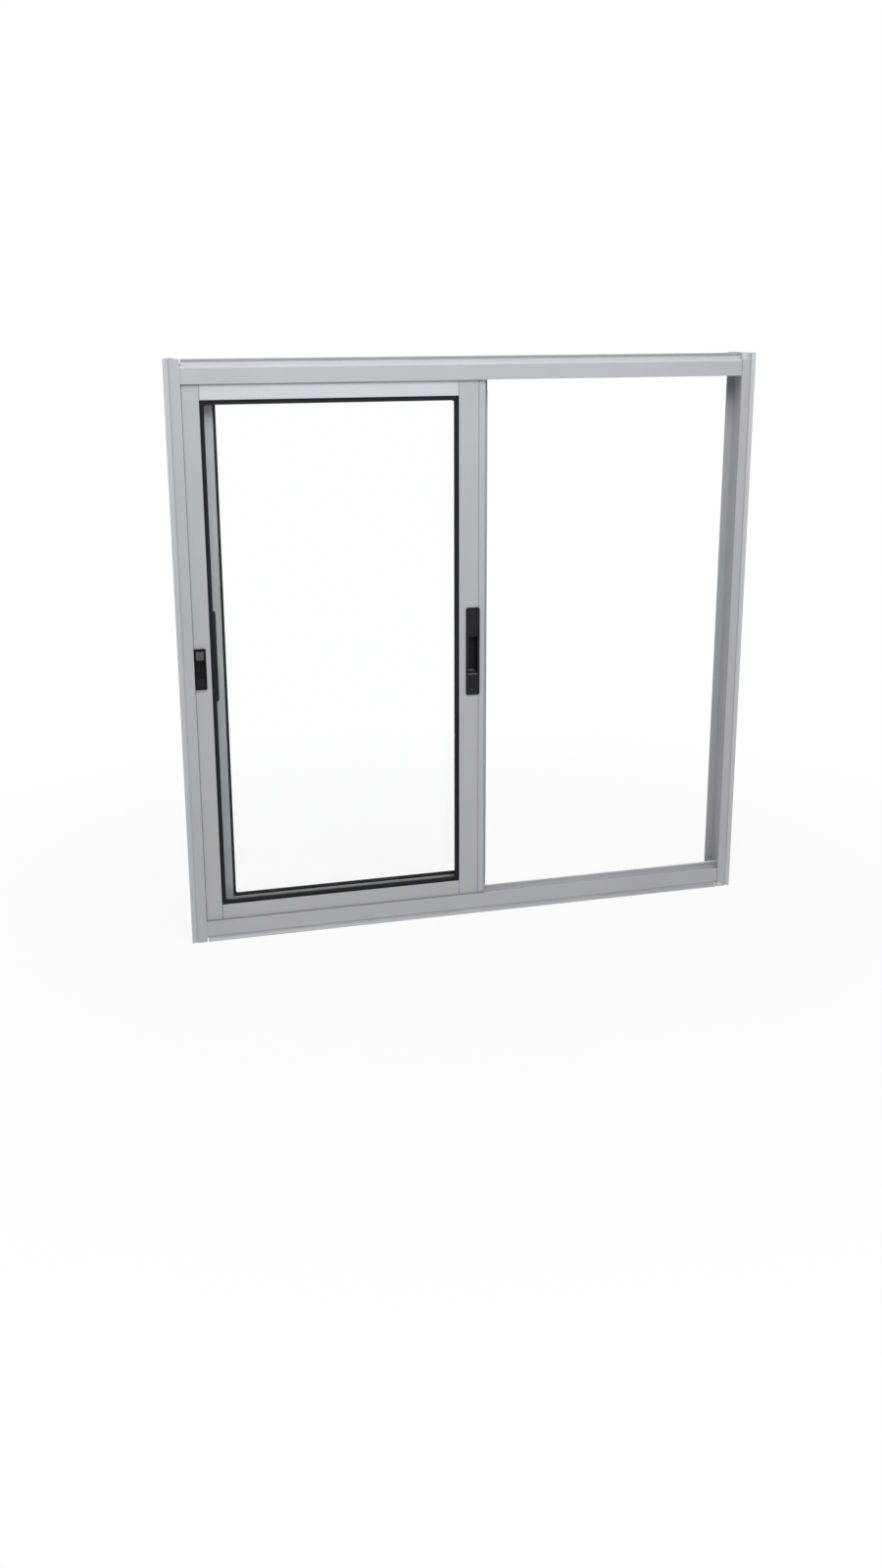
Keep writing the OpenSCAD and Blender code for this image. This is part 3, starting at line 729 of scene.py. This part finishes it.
def aluminium_sections():
    """All frame and sash sections with their extrusion lines along them, and each one's bands of painted
    light and shade or dark joint lines.
    """
    finishes = (
        (anodised("anodised_along_x", "x", ALUMINIUM), ("head_rail",)),
        # Rear sash: the shaded copy of the tone, painted shade
        (anodised("anodised_rear_shaded_x", "x", ALUMINIUM_REAR_SHADED), ("rear_top_rail", "rear_bottom_rail")),
        (anodised("anodised_rear_shaded_z", "z", ALUMINIUM_REAR_SHADED), ("rear_lock_stile", "rear_meeting_stile")),
        # Sill rails: the lit copy of the tone and a painted highlight, both painted light
        (anodised("anodised_sill_rails_lit", "x", ALUMINIUM_SILL_RAILS_LIT, SILL_RAIL_HIGHLIGHT), ("sill_rails",)),
        # Front top rail and corner blocks: the lit copy of the tone, painted light; the rail ends' bands are
        # dark joints
        (anodised("anodised_lit_pale", "x", ALUMINIUM_LIT, RAIL_END_BANDS), ("front_top_rail", "corner_blocks")),
        (anodised("anodised_rail", "x", ALUMINIUM, RAIL_END_BANDS), ("front_bottom_rail",)),
        (anodised("anodised_lock_stile", "z", ALUMINIUM, LOCK_STILE_SHADE), ("front_lock_stile",)),
        (anodised("anodised_meeting_stile", "z", ALUMINIUM, MEETING_STILE_SHADOW), ("front_meeting_stile",)),
        (anodised("anodised_jambs", "z", ALUMINIUM, JAMB_LIGHT_AND_SHADE), ("left_jamb", "right_jamb")),
        (anodised("anodised_sill", "x", ALUMINIUM, SILL_LIGHT_AND_SHADE), ("sill",)),
        (anodised("anodised_head", "x", ALUMINIUM, HEAD_PAINTED_LIGHT), ("head",)),
    )
    for material, nodes in finishes:
        for node in nodes:
            softened(node, node + "_section", "anodised_aluminium", material, SECTION_EASE)


def fittings():
    """Pulls, latch, screws and rollers."""
    black = moulded("black_plastic", BLACK_PLASTIC)
    thumb = moulded("slider_plastic", BLACK_PLASTIC, SLIDER_HIGHLIGHT)
    plates = {
        "front": moulded("front_plate", BLACK_PLASTIC, PLATE_HIGHLIGHT, FRONT_RECESS_DEPTH),
        "rear": moulded("rear_plate", BLACK_PLASTIC, (), REAR_RECESS_DEPTH),
    }
    latch = moulded("latch_plastic", LATCH_PLASTIC, LATCH_RAMP_LIGHT)
    grey = moulded("grey_plastic", GREY_PLASTIC, BUTTON_GLINT)
    nylon = moulded("nylon", NYLON)
    blackened = plated("black_screws", BLACKENED_STEEL)
    zinc = plated("steel_screws", ZINC)
    for sash in ("front", "rear"):
        pieces = (
            ("_pull_plate", "_pull_plate_moulding", "black_plastic", plates[sash], MOULDING_EASE),
            ("_pull_slider", "_pull_slider_thumb", "black_plastic", thumb, MOULDING_EASE),
            ("_pull_screws", "_pull_screws_cross", "black_screws", blackened, SMALL_EASE),
            ("_roller_housings", "_roller_housing_shells", "black_plastic", black, MOULDING_EASE),
            ("_rollers", "_roller_wheels", "nylon", nylon, SMALL_EASE),
        )
        for node, name, slot, material, ease in pieces:
            softened(sash + node, sash + name, slot, material, ease)
    softened("latch_body", "latch_case", "black_plastic", latch, MOULDING_EASE)
    softened("latch_button", "latch_thumb_button", "grey_plastic", grey, MOULDING_EASE)
    corner_screws(zinc)


def glazing():
    """Panes and the vinyl that holds them."""
    rubber = vinyl()
    pane = clear_glass()
    for sash in ("front", "rear"):
        vinyl_ring(sash + "_gasket", sash + "_vinyl_channel", rubber, VINYL_SECTIONS[sash])
        softened(sash + "_glass", sash + "_pane", "clear_glass", pane, GLASS_EASE)


white_world()
floor()
lights()
camera()
aluminium_sections()
glazing()
fittings()

scene = bpy.context.scene
scene.view_settings.view_transform = "Standard"
bpy.context.view_layer.update()
